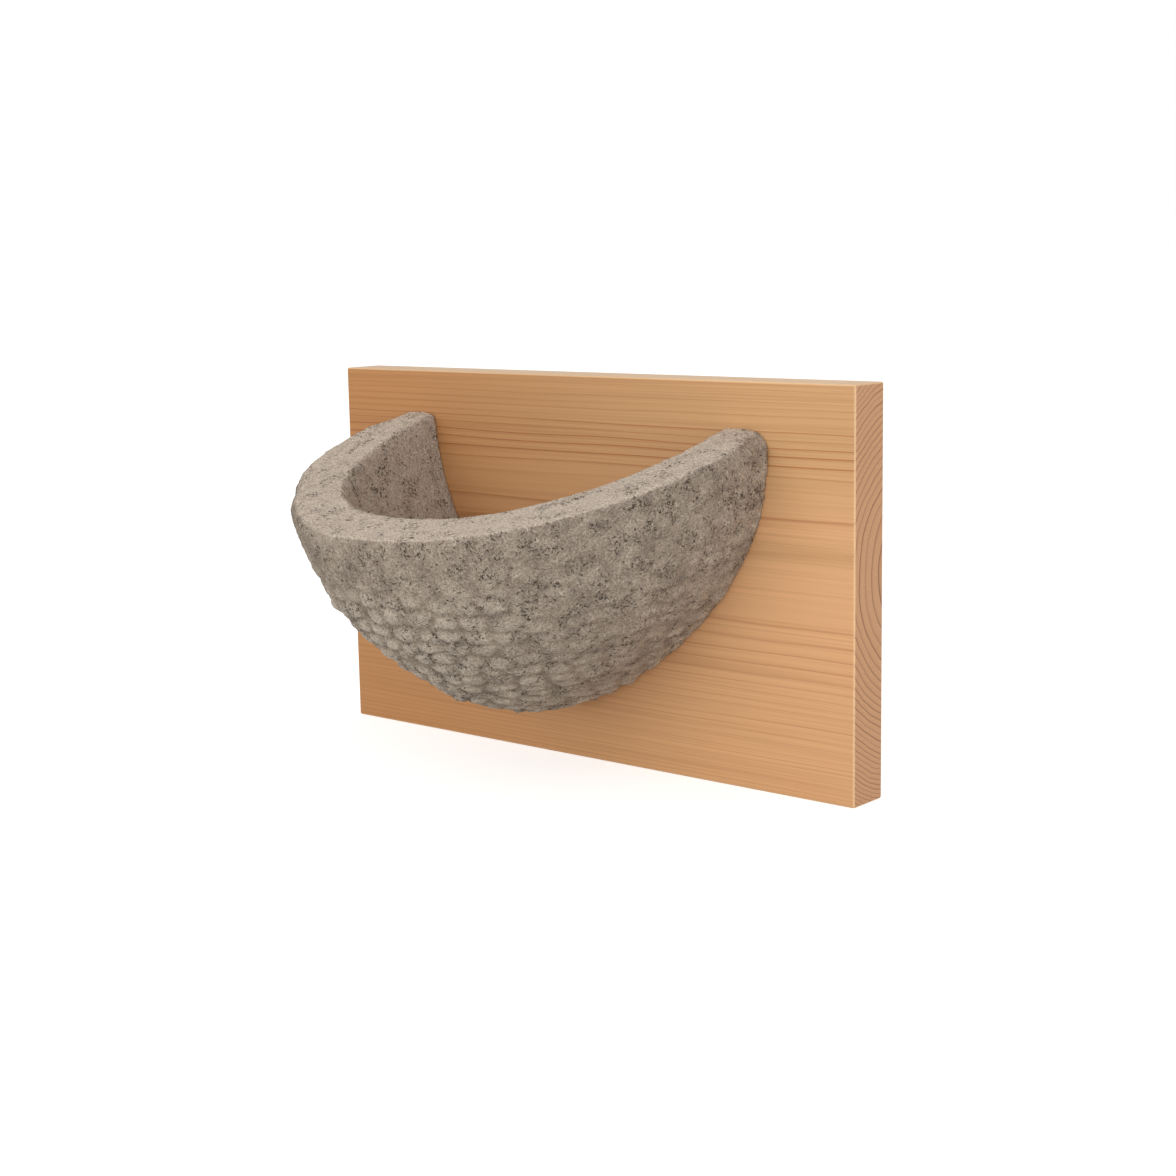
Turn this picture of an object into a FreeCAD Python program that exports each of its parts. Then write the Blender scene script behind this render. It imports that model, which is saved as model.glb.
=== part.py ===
import FreeCAD, Part
import bisect
import math
import os

import Sketcher
from FreeCAD import Placement, Rotation, Vector

# Swallow nest cup: a half bowl cast in wood-concrete, open at the top and at the back, with a rim
# that falls towards the front. It is screwed from behind to a planed softwood board that closes
# its back and hangs on a wall.
#
# Frame: X along the board, +Y into the wall, +Z up, origin in the middle of the board's back
# face. Lengths are millimetres.
#
# Form of the bowl: its plan is a superellipse, and a profile gives the share of the full width
# and the share of the full reach that are left at each depth below the rim. More fullness keeps
# the upper part wide for longer, and more taper makes the bottom more pointed: 2 and 0.5 are an
# ellipse. The lower part of the outside carries courses of mud pellets laid like bricks, as a
# swallow lays them.

SIZES = {
    # board
    "board_width": 250,
    "board_height": 148,
    "board_thickness": 18,
    "board_edge_radius": 0.8,
    # outside of the cup; rim_height is the rim at the board, above the board's middle, and
    # cup_shift is how far to the right of that middle the cup sits
    "cup_shift": -2,
    "cup_half_width": 93.5,
    "cup_reach": 117,
    "cup_depth": 109.5,
    "rim_height": 57.5,
    "rim_drop": 33.5,
    "rim_edge_radius": 1.5,
    "plan_fullness": 2.27,
    "width_fullness": 2.15,
    "width_taper": 0.775,
    "reach_fullness": 2.23,
    "reach_taper": 0.45,
    # pellets on the outside, below a smooth band that follows the rim
    "smooth_band": 26,
    "pellet_width": 8.8,
    "pellet_rise": 5.6,
    "pellet_height": 1.8,
    # hollow of the cup
    "side_wall": 21.7,
    "front_wall": 20.9,
    "hollow_depth": 88,
    "hollow_fullness": 1.8,
    "hollow_taper": 0.555,
    # countersunk screws that hold the cup to the board
    "screw_diameter": 4.5,
    "screw_length": 40,
    "screw_head_diameter": 8.8,
    "screw_head_angle": 90,
    "screw_tip_length": 5,
    "recess_span": 4.6,
    "recess_width": 1.2,
    "recess_depth": 2.2,
    "horn_screw_height": 28,
    # clearances of the screws
    "head_sink": 0.5,
    "head_play": 0.1,
    "board_hole_play": 0.2,
    "cup_hole_play": 0.05,
    "hole_end_play": 1,
}

# fineness of the skins: samples along a row and down the front, halvings of a search, share that
# a slope is taken over, and width of a facet where the skin is smooth
FINE = 90
HALVINGS = 40
STEP = 1e-4
FACET = 6

# share of the half turn at which the front of a bowl lies
MIDDLE = 0.5

# share by which an eased corner stands out from its chamfer towards the sharp corner
ROUNDING = 0.4

# character of the pellets: place of the crest in its course, rise of their shoulders, how much
# they differ, heights of the first courses, and two shares that scatter the differences
CREST = 0.58
SHOULDER = 0.75
PELLET_SPREAD = 0.45
FADE_IN = (0.45, 0.75)
SCATTER_ALONG = 0.618
SCATTER_DOWN = 0.377


def make_sheet(doc):
    """Spreadsheet with one plain number and one alias a row."""
    sheet = doc.addObject("Spreadsheet::Sheet", "sizes")
    for row, (alias, value) in enumerate(SIZES.items(), start=1):
        sheet.set(f"A{row}", str(value))
        sheet.setAlias(f"A{row}", alias)
    doc.recompute()
    return sheet


def value_of(sheet, expression):
    """Number that an expression on the sheet gives."""
    return float(sheet.evalExpression(expression))


def bind(item, sheet, **expressions):
    """Bind properties to expressions; a double underscore in a name stands for a dot."""
    for name, expression in expressions.items():
        item.setExpression(name.replace("__", "."), expression)


def origin_plane(body, role):
    """One of the body's own origin planes."""
    return next(item for item in body.Origin.OriginFeatures if item.Role == role)


def plane_sketch(body, role, name):
    """Empty sketch on one of the body's own origin planes."""
    sketch = body.newObject("Sketcher::SketchObject", name)
    sketch.AttachmentSupport = [(origin_plane(body, role), "")]
    sketch.MapMode = "FlatFace"
    return sketch


def pin_point(sketch, sheet, geometry, point, x_size, y_size):
    """Hold a sketch point at two distances from the origin, each an expression or "0"."""
    along = (("DistanceX", x_size, -2, value_of(sheet, x_size)),
             ("DistanceY", y_size, -1, value_of(sheet, y_size)))
    for kind, size, axis, start in along:
        if size == "0":
            sketch.addConstraint(Sketcher.Constraint("PointOnObject", geometry, point, axis))
            continue
        index = sketch.addConstraint(Sketcher.Constraint(kind, -1, 1, geometry, point, start))
        sketch.setExpression(f"Constraints[{index}]", size)


def polygon_sketch(body, sheet, role, name, corners):
    """Closed outline through corners that are pairs of expressions."""
    sketch = plane_sketch(body, role, name)
    points = [Vector(value_of(sheet, x), value_of(sheet, y), 0) for x, y in corners]
    count = len(points)
    for index in range(count):
        sketch.addGeometry(Part.LineSegment(points[index], points[(index + 1) % count]), False)
    for index in range(count):
        following = (index + 1) % count
        sketch.addConstraint(Sketcher.Constraint("Coincident", index, 2, following, 1))
    for index, (x_size, y_size) in enumerate(corners):
        pin_point(sketch, sheet, index, 1, x_size, y_size)
    return sketch


def unit_plan(sheet, share):
    """Point of the plan superellipse at a share of the half turn from the right horn."""
    angle = math.pi * share
    across, along = math.cos(angle), math.sin(angle)
    radius = (abs(across) ** sheet.plan_fullness + abs(along) ** sheet.plan_fullness)
    radius **= -1 / sheet.plan_fullness
    return radius * across, radius * along


def profile_share(depth, fullness, taper):
    """Share of the full size that is left at a share of the depth."""
    return (1 - min(abs(depth), 1) ** fullness) ** taper


class Bowl:
    """Half bowl against the board: plan superellipse times profile, from the rim to the pole.

    A place on its skin is a share along the half turn, from the right horn to the left, and a
    share of the way down from the sloping rim to the pole.
    """

    def __init__(self, sheet, half_width, reach, depth, fullness, taper):
        self.sheet = sheet
        self.half_width = half_width
        self.reach = reach
        self.depth = depth
        self.fullness = fullness
        self.taper = taper
        self.board_y = -sheet.board_thickness
        self.pole = Vector(sheet.cup_shift, self.board_y, sheet.rim_height - depth)
        self.rim_angles = {}

    def skin_point(self, along, angle):
        """Skin point at a share along and an angle down, which is 0 level with the horns."""
        across, out = unit_plan(self.sheet, along)
        down = math.sin(angle)
        width_left = profile_share(down, self.fullness, self.taper)
        reach_left = profile_share(down, self.sheet.reach_fullness, self.sheet.reach_taper)
        return Vector(self.sheet.cup_shift + self.half_width * across * width_left,
                      self.board_y - self.reach * out * reach_left,
                      self.sheet.rim_height - self.depth * down)

    def above_rim(self, point):
        """Height of a point above the rim's plane."""
        slope = self.sheet.rim_drop / self.sheet.cup_reach
        return point.z - self.sheet.rim_height + slope * (self.board_y - point.y)

    def rim_angle(self, along):
        """Angle down at which the skin meets the rim's plane."""
        if along in self.rim_angles:
            return self.rim_angles[along]
        low, high = 0, math.pi / 2
        for _ in range(HALVINGS):
            middle = (low + high) / 2
            if self.above_rim(self.skin_point(along, middle)) > 0:
                low = middle
            else:
                high = middle
        self.rim_angles[along] = high
        return high

    def point(self, along, down, lift=0):
        """Skin point, lifted off the skin by a height; both ends of a row stay on the board."""
        if down >= 1:
            return self.pole
        first = self.rim_angle(along)
        angle = first + down * (math.pi / 2 - first)
        point = self.skin_point(along, angle)
        if lift:
            sideways = self.skin_point(along + STEP, angle) - self.skin_point(along - STEP, angle)
            downwards = self.skin_point(along, angle + STEP) - self.skin_point(along, angle - STEP)
            point += lift * sideways.cross(downwards).normalize()
        if along in (0, 1):
            point.y = self.board_y
        return point

    def row_length(self, down):
        """Length of one row from horn to horn."""
        fine = [self.point(index / FINE, down) for index in range(FINE + 1)]
        return sum((after - before).Length for before, after in zip(fine, fine[1:]))

    def front_length(self):
        """Length of the skin down the front, from the rim to the pole."""
        fine = [self.point(MIDDLE, index / FINE) for index in range(FINE + 1)]
        return sum((after - before).Length for before, after in zip(fine, fine[1:]))

    def down_at(self, distance):
        """Share of the way down that lies a distance from the rim, measured down the front."""
        reached = 0
        before = self.point(MIDDLE, 0)
        for index in range(1, FINE + 1):
            after = self.point(MIDDLE, index / FINE)
            step = (after - before).Length
            if reached + step >= distance:
                return (index - 1 + (distance - reached) / step) / FINE
            reached += step
            before = after
        return 1

    def row(self, down, shares, lifts=None):
        """Points at shares of one row's length, which lie evenly whatever the plan's form."""
        fine = [self.point(index / FINE, down) for index in range(FINE + 1)]
        length = [0]
        for before, after in zip(fine, fine[1:]):
            length.append(length[-1] + (after - before).Length)
        points = []
        for number, share in enumerate(shares):
            reached = share * length[-1]
            index = min(bisect.bisect_right(length, reached), FINE) - 1
            part = (reached - length[index]) / (length[index + 1] - length[index])
            lift = lifts[number] if lifts else 0
            points.append(self.point(min((index + part) / FINE, 1), down, lift))
        return points


def share_expression(height, depth, fullness, taper):
    """The same share at a height above the board's middle, as an expression on the sheet."""
    down = f"(sizes.rim_height - {height}) / sizes.{depth}"
    return f"pow(1 - pow({down}; sizes.{fullness}); sizes.{taper})"


def make_board(doc, sheet):
    """Planed board with eased edges and three holes, countersunk from behind."""
    body = doc.addObject("PartDesign::Body", "backboard")
    half_width = "sizes.board_width / 2"
    half_height = "sizes.board_height / 2"
    outline = polygon_sketch(body, sheet, "XZ_Plane", "board_outline", [
        (f"-{half_width}", f"-{half_height}"), (half_width, f"-{half_height}"),
        (half_width, half_height), (f"-{half_width}", half_height)])
    pad = body.newObject("PartDesign::Pad", "plank")
    pad.Profile = outline
    bind(pad, sheet, Length="sizes.board_thickness")
    doc.recompute()
    eased = body.newObject("PartDesign::Fillet", "eased_edges")
    eased.Base = (pad, [f"Edge{number}" for number in range(1, len(pad.Shape.Edges) + 1)])
    bind(eased, sheet, Radius="sizes.board_edge_radius")
    doc.recompute()
    centres = plane_sketch(body, "XZ_Plane", "screw_centres")
    for number, (x_size, z_size) in enumerate(SCREW_PLACES.values()):
        centre = Vector(value_of(sheet, x_size), value_of(sheet, z_size), 0)
        centres.addGeometry(Part.Circle(centre, Vector(0, 0, 1), sheet.screw_diameter / 2), False)
        pin_point(centres, sheet, number, 3, x_size, z_size)
        index = centres.addConstraint(
            Sketcher.Constraint("Diameter", number, sheet.screw_diameter))
        centres.setExpression(f"Constraints[{index}]", "sizes.screw_diameter")
    doc.recompute()
    holes = body.newObject("PartDesign::Hole", "screw_holes")
    holes.Profile = centres
    holes.Reversed = True
    holes.DepthType = "ThroughAll"
    holes.HoleCutType = "Countersink"
    bind(holes, sheet,
         Diameter="sizes.screw_diameter + 2 * sizes.board_hole_play",
         HoleCutDiameter=f"{HEAD_MOUTH} + 2 * sizes.head_play",
         HoleCutCountersinkAngle="sizes.screw_head_angle")
    body.Tip = holes
    doc.recompute()
    return body


def even_shares(length, width):
    """Shares that divide a length into equal steps of about a width."""
    count = max(round(length / width), 2)
    return [index / count for index in range(count + 1)]


def rim_rows(bowl, side):
    """First rows of a skin: its eased corner with the rim, drawn back to one side of the edge."""
    radius = bowl.sheet.rim_edge_radius
    slope = math.atan(bowl.sheet.rim_drop / bowl.sheet.cup_reach)
    upwards = Vector(0, -math.sin(slope), math.cos(slope))
    shares = even_shares(bowl.row_length(0), FACET)
    edge = bowl.row(0, shares)
    below = bowl.row(bowl.down_at(radius), shares)
    flat = []
    for index, point in enumerate(edge):
        if index in (0, len(edge) - 1):
            inwards = Vector(1 if index else -1, 0, 0)
        else:
            inwards = (edge[index + 1] - edge[index - 1]).cross(upwards).normalize()
        flat.append(point + side * radius * inwards)
    eased = []
    for first, second, sharp in zip(flat, below, edge):
        middle = (first + second) / 2
        eased.append(middle + ROUNDING * (sharp - middle))
    return [(shares, flat), (shares, eased), (shares, below)]


def smooth_rows(bowl, last):
    """Plain rows from the eased corner to a distance down the front."""
    first = bowl.sheet.rim_edge_radius
    rows = []
    for share in even_shares(last - first, FACET)[1:-1]:
        down = bowl.down_at(first + share * (last - first))
        shares = even_shares(bowl.row_length(down), FACET)
        rows.append((shares, bowl.row(down, shares)))
    return rows


def pellet_rows(bowl):
    """Rows from the smooth band to the last whole course of pellets above the pole."""
    sheet = bowl.sheet
    rows = []
    course = 0
    top = sheet.smooth_band
    while bowl.row_length(bowl.down_at(top + sheet.pellet_rise)) > 2 * sheet.pellet_width:
        crest = bowl.down_at(top + CREST * sheet.pellet_rise)
        count = round(bowl.row_length(crest) / sheet.pellet_width)
        seams = [index / (2 * count) for index in range(2 * count + 1)]
        shares = [index / (4 * count) for index in range(4 * count + 1)]
        fade = FADE_IN[course] if course < len(FADE_IN) else 1
        lifts = [0] * len(shares)
        for index in range(2 + 2 * (course % 2), 4 * count - 1, 4):
            scatter = (index * SCATTER_ALONG + course * SCATTER_DOWN) % 1
            lifts[index] = fade * sheet.pellet_height * (1 - PELLET_SPREAD * scatter)
            lifts[index - 1] = lifts[index + 1] = SHOULDER * lifts[index]
        rows.append((seams, bowl.row(bowl.down_at(top), seams)))
        rows.append((shares, bowl.row(crest, shares, lifts)))
        top += sheet.pellet_rise
        course += 1
    rows.append((seams, bowl.row(bowl.down_at(top), seams)))
    return rows


def zip_rows(upper, lower):
    """Triangles between two rows, whatever the number of points in each."""
    faces = []
    first, second = 0, 0
    (upper_shares, upper_points), (lower_shares, lower_points) = upper, lower
    while first < len(upper_points) - 1 or second < len(lower_points) - 1:
        next_upper = upper_shares[first + 1] if first < len(upper_points) - 1 else 2
        next_lower = lower_shares[second + 1] if second < len(lower_points) - 1 else 2
        corners = [upper_points[first], lower_points[second]]
        if next_upper <= next_lower:
            first += 1
            corners.append(upper_points[first])
        else:
            second += 1
            corners.append(lower_points[second])
        faces.append(Part.Face(Part.makePolygon(corners + corners[:1])))
    return faces


def skin_faces(rows):
    """Facets of a skin whose rows run from the rim to the pole."""
    faces = []
    for upper, lower in zip(rows, rows[1:-1]):
        faces += zip_rows(upper, lower)
    last, (pole,) = rows[-2][1], rows[-1][1]
    for before, after in zip(last, last[1:]):
        faces.append(Part.Face(Part.makePolygon([before, after, pole, before])))
    return faces


def cup_shape(sheet):
    """Casting without its screw holes: outside, hollow, sloping rim and flat back."""
    outside = Bowl(sheet, sheet.cup_half_width, sheet.cup_reach, sheet.cup_depth,
                   sheet.width_fullness, sheet.width_taper)
    hollow = Bowl(sheet, sheet.cup_half_width - sheet.side_wall,
                  sheet.cup_reach - sheet.front_wall, sheet.hollow_depth,
                  sheet.hollow_fullness, sheet.hollow_taper)
    outer = rim_rows(outside, 1) + smooth_rows(outside, sheet.smooth_band) + pellet_rows(outside)
    inner = rim_rows(hollow, -1) + smooth_rows(hollow, hollow.front_length())
    for rows, bowl in ((outer, outside), (inner, hollow)):
        rows.append(([MIDDLE], [bowl.pole]))
    rim = outer[0][1] + inner[0][1][::-1]
    right_end = [points[0] for _, points in outer] + [points[-1] for _, points in outer[-2::-1]]
    left_end = [points[-1] for _, points in inner] + [points[0] for _, points in inner[-2::-1]]
    flats = [Part.Face(Part.makePolygon(outline + outline[:1]))
             for outline in (rim, right_end + left_end)]
    shell = Part.Compound(skin_faces(outer) + skin_faces(inner) + flats)
    shell.sewShape()
    solid = Part.Solid(shell.Shells[0])
    if solid.Volume < 0:
        solid.reverse()
    return solid


def make_cup(doc, sheet):
    """Cast half bowl with three blind holes for its screws."""
    casting = doc.addObject("Part::Feature", "casting")
    casting.Shape = cup_shape(sheet)
    holes = []
    for name, (x_size, z_size) in SCREW_PLACES.items():
        hole = doc.addObject("Part::Cylinder", f"{name}_hole")
        hole.Placement = Placement(Vector(), Rotation(Vector(1, 0, 0), 90))
        bind(hole, sheet, Radius="sizes.screw_diameter / 2 + sizes.cup_hole_play",
             Height="sizes.head_sink + sizes.screw_length + sizes.hole_end_play",
             Placement__Base__x=x_size, Placement__Base__z=z_size)
        holes.append(hole)
    drill = doc.addObject("Part::MultiFuse", "screw_hole_drill")
    drill.Shapes = holes
    cup = doc.addObject("Part::Cut", "nest_cup")
    cup.Base = casting
    cup.Tool = drill
    doc.recompute()
    return cup


def make_screw(doc, sheet, name, x_size, z_size):
    """Countersunk wood screw, drawn head down along its own Z and laid in from behind."""
    body = doc.addObject("PartDesign::Body", name)
    radius = "sizes.screw_diameter / 2"
    outline = polygon_sketch(body, sheet, "XZ_Plane", f"{name}_outline", [
        ("0", "0"), ("sizes.screw_head_diameter / 2", "0"), (radius, HEAD_HEIGHT),
        (radius, "sizes.screw_length - sizes.screw_tip_length"), ("0", "sizes.screw_length")])
    turned = body.newObject("PartDesign::Revolution", f"{name}_turned")
    turned.Profile = outline
    turned.ReferenceAxis = (outline, ["V_Axis"])
    turned.Angle = 360
    doc.recompute()
    span = "sizes.recess_span / 2"
    width = "sizes.recess_width / 2"
    cross = polygon_sketch(body, sheet, "XY_Plane", f"{name}_cross", [
        (span, f"-{width}"), (span, width), (width, width), (width, span),
        (f"-{width}", span), (f"-{width}", width), (f"-{span}", width), (f"-{span}", f"-{width}"),
        (f"-{width}", f"-{width}"), (f"-{width}", f"-{span}"), (width, f"-{span}"),
        (width, f"-{width}")])
    recess = body.newObject("PartDesign::Pocket", f"{name}_recess")
    recess.Profile = cross
    recess.Reversed = True
    bind(recess, sheet, Length="sizes.recess_depth")
    body.Tip = recess
    body.Placement = Placement(Vector(), Rotation(Vector(1, 0, 0), 90))
    bind(body, sheet, Placement__Base__x=x_size, Placement__Base__y="-sizes.head_sink",
         Placement__Base__z=z_size)
    doc.recompute()
    return body


# height of the screw's head, and the width of a countersink that lets the head lie below the face
HALF_ANGLE = "tan(sizes.screw_head_angle / 2)"
HEAD_HEIGHT = f"(sizes.screw_head_diameter - sizes.screw_diameter) / 2 / {HALF_ANGLE}"
HEAD_MOUTH = f"sizes.screw_head_diameter + 2 * sizes.head_sink * {HALF_ANGLE}"

# each screw runs in the middle of the wall where the wall meets the board
OUTER_AT_SCREW = share_expression("sizes.horn_screw_height", "cup_depth", "width_fullness",
                                  "width_taper")
INNER_AT_SCREW = share_expression("sizes.horn_screw_height", "hollow_depth", "hollow_fullness",
                                  "hollow_taper")
HORN_X = (f"(sizes.cup_half_width * {OUTER_AT_SCREW}"
          f" + (sizes.cup_half_width - sizes.side_wall) * {INNER_AT_SCREW}) / 2")
FLOOR_Z = "sizes.rim_height - (sizes.cup_depth + sizes.hollow_depth) / 2"
SCREW_PLACES = {
    "left_screw": (f"sizes.cup_shift - {HORN_X}", "sizes.horn_screw_height"),
    "right_screw": (f"sizes.cup_shift + {HORN_X}", "sizes.horn_screw_height"),
    "floor_screw": ("sizes.cup_shift", FLOOR_Z),
}


def check_document(doc, parts):
    """Stop on a failed object or on a sub-part that is no valid solid."""
    for item in doc.Objects:
        if {"Invalid", "Error"} & set(item.State):
            raise RuntimeError(f"{item.Name} failed: {item.State}")
    for part in parts:
        if part.Shape.isNull() or not part.Shape.isValid():
            raise RuntimeError(f"{part.Label} has no valid shape")


def main():
    doc = FreeCAD.newDocument("swallow_nest_cup")
    sheet = make_sheet(doc)
    parts = [make_board(doc, sheet), make_cup(doc, sheet)]
    for name, (x_size, z_size) in SCREW_PLACES.items():
        parts.append(make_screw(doc, sheet, name, x_size, z_size))
    doc.recompute()
    check_document(doc, parts)
    os.makedirs("parts", exist_ok=True)
    for part in parts:
        part.Shape.exportStep(os.path.join("parts", part.Label + ".step"))
        print(part.Label, round(part.Shape.Volume, 1), len(part.Shape.Solids), part.Shape.BoundBox)


main()
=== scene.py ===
"""Looks of a swallow nest cup: a cast wood-concrete bowl on a planed softwood board."""

import logging
import math
from dataclasses import dataclass
from enum import Enum

import bpy
import numpy as np
from mathutils import Euler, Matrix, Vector, noise


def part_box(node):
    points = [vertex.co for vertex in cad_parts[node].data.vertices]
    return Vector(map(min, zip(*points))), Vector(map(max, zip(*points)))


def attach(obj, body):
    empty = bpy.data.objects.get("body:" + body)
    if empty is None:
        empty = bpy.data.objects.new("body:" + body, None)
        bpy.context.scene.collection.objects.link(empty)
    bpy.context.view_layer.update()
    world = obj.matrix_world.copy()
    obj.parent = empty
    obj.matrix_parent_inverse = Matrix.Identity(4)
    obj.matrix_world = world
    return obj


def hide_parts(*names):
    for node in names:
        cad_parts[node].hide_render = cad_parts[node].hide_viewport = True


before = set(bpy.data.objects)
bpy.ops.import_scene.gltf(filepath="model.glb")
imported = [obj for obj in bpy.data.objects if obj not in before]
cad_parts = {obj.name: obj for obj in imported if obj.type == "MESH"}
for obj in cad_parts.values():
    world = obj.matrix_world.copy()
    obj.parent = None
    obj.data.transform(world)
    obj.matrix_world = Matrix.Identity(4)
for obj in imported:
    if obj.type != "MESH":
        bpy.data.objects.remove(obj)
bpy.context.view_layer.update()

LOG = logging.getLogger("nest_cup")
MM = 0.001
TINY = 1e-9

# Inputs of a Mix node on colours: its share, the colour below and the colour above.
SHARE, BELOW, ABOVE = 0, 6, 7

# Odd factors. The first two turn a seed into a shift along each axis. The others scramble a
# spot's place, or a pellet's number and row, into shares that look random and stay the same.
GRAIN_SHIFT = (1.0, 1.7, 2.3)
SPOT_SHIFT = (1.0, 1.3, 1.9)
SPOT_SCRAMBLE = (12.9, 78.2, 37.7, 43758.5)
PELLET_SCRAMBLE = (12.9898, 78.233, 43758.5453, 57.31)

Span = tuple[float, float]
Window = tuple[float, float, float, float]
Place = tuple[float, float, float]
Stops = tuple[tuple[float, str], ...]
Tree = bpy.types.NodeTree
Socket = bpy.types.NodeSocket


class Body(Enum):
    """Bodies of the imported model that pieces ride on."""

    ROOT = "root"


class Slot(Enum):
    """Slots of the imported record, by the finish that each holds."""

    CONCRETE = "wood_concrete"


class Mark(Enum):
    """Shares kept on the crust's vertices, which its finish reads."""

    # Dirty low places with painted shade, a painted highlight on the pellets' tops, the rim's
    # face with painted top light, and painted fill light in the hollow.
    DIRT = "dirt_and_shade"
    CREST = "crest_highlight"
    TROWELLED = "trowelled_and_top_lit"
    INSIDE = "inside_fill_light"


def linear(code: str) -> tuple[float, float, float, float]:
    """Turn an sRGB hex colour into a linear one.

    Args:
        code: six hex digits with a leading hash.

    Returns:
        Red, green, blue and alpha, linear.
    """
    parts = [int(code[place:place + 2], 16) / 255 for place in (1, 3, 5)]
    curved = [part / 12.92 if part <= 0.04045 else ((part + 0.055) / 1.055) ** 2.4
              for part in parts]
    return (*curved, 1.0)


def add_node(tree: Tree, kind: str, links: dict | None = None, values: dict | None = None,
             output: str | None = None, **settings: object) -> Socket:
    """Add a node with its settings, socket values and incoming links.

    Args:
        tree: tree that takes the node.
        kind: the node's type, without the prefix that all of them share.
        links: output sockets by the name or number of the input that they feed.
        values: plain values by the name or number of their input.
        output: name of the output that is wanted, or None for the first one in use.
        settings: properties of the node itself.

    Returns:
        That output of the new node.
    """
    node = tree.nodes.new("ShaderNode" + kind)
    for name, value in settings.items():
        setattr(node, name, value)
    for key, value in (values or {}).items():
        node.inputs[key].default_value = value
    for key, socket in (links or {}).items():
        tree.links.new(socket, node.inputs[key])
    if output is not None:
        return node.outputs[output]
    return next(socket for socket in node.outputs if socket.enabled)


def ramp_stops(colour: Socket, stops: Stops) -> Socket:
    """Set the stops of a colour ramp.

    Args:
        colour: the ramp's output.
        stops: place and hex colour of each stop, in order.

    Returns:
        The same output.
    """
    ramp = colour.node.color_ramp
    while len(ramp.elements) < len(stops):
        ramp.elements.new(1.0)
    for element, (place, code) in zip(ramp.elements, stops):
        element.position = place
        element.color = linear(code)
    return colour


def seen_by_eye(tree: Tree) -> Socket:
    """Tell what the camera sees, also in gloss and through glass, from what lights the object.

    Args:
        tree: tree of the floor's material or of the world.

    Returns:
        A share that is 1 for what is seen and 0 for light.
    """
    rays = add_node(tree, "LightPath").node.outputs
    seen = rays["Is Camera Ray"]
    for name in ("Is Glossy Ray", "Is Transmission Ray"):
        seen = add_node(tree, "Math", {0: seen, 1: rays[name]}, operation="MAXIMUM")
    return seen


def new_material(name: str, values: dict) -> tuple[bpy.types.Material, bpy.types.Node]:
    """Make a node material with one surface shader.

    Args:
        name: the material's name.
        values: what is the same all over, by the name of the shader's input.

    Returns:
        The material and its surface shader.
    """
    material = bpy.data.materials.new(name)
    material.use_nodes = True
    surface = material.node_tree.nodes["Principled BSDF"]
    for key, value in values.items():
        surface.inputs[key].default_value = value
    return material, surface


def smooth_step(values: np.ndarray, low: float, high: float) -> np.ndarray:
    """Rise from 0 to 1 between two limits, with a level start and end.

    Args:
        values: numbers to judge.
        low: limit where the rise starts.
        high: limit where it ends.

    Returns:
        One share for each number.
    """
    share = np.clip((values - low) / (high - low), 0.0, 1.0)
    return share * share * (3.0 - 2.0 * share)


def window(values: np.ndarray, limits: Window) -> np.ndarray:
    """Rise from 0 to 1 between the first two limits, and fall back between the last two.

    Args:
        values: numbers to judge.
        limits: the four limits, in order.

    Returns:
        One share for each number.
    """
    start, full, fade, end = limits
    return smooth_step(values, start, full) * smooth_step(-values, -end, -fade)


@dataclass(frozen=True)
class Grain:
    """A layer of smooth noise: width of its coarsest lumps, and the shift that picks it."""

    size: float
    seed: float
    octaves: int = 1

    def field(self, points: np.ndarray) -> np.ndarray:
        """Read the layer at points.

        Args:
            points: places in metres.

        Returns:
            About -1 to 1 for each point.
        """
        shift = Vector([self.seed * factor for factor in GRAIN_SHIFT])
        return np.array([noise.fractal(Vector(place) + shift, 1.0, 2.0, self.octaves)
                         for place in points / self.size])


@dataclass(frozen=True)
class Layer:
    """Noise raised on the crust: its height, its grain, and the share gone from the rim."""

    height: float
    grain: Grain
    closed: float

    def raised(self, points: np.ndarray, face: np.ndarray) -> np.ndarray:
        """Height at points, lower by the share of the rim's face that the trowel closed."""
        return self.grain.field(points) * self.height * (1.0 - self.closed * face)


@dataclass(frozen=True)
class Spots:
    """Scattered spots: mean distance between them, and the shift that picks the pattern."""

    spacing: float
    seed: float

    def nearest(self, points: np.ndarray) -> tuple[np.ndarray, np.ndarray]:
        """Find the nearest spot of each point.

        Args:
            points: places in metres.

        Returns:
            Distances to the spots in metres, and a fixed random share of each spot.
        """
        shift = Vector([self.seed * factor for factor in SPOT_SHIFT])
        by_x, by_y, by_z, spread = SPOT_SCRAMBLE
        distances = np.empty(len(points))
        picks = np.empty(len(points))
        for index, place in enumerate(points / self.spacing):
            found, spots = noise.voronoi(Vector(place) + shift)
            distances[index] = found[0]
            spot = spots[0]
            turn = spot.x * by_x + spot.y * by_y + spot.z * by_z
            picks[index] = math.sin(turn) * spread % 1.0
        return distances * self.spacing, picks


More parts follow.
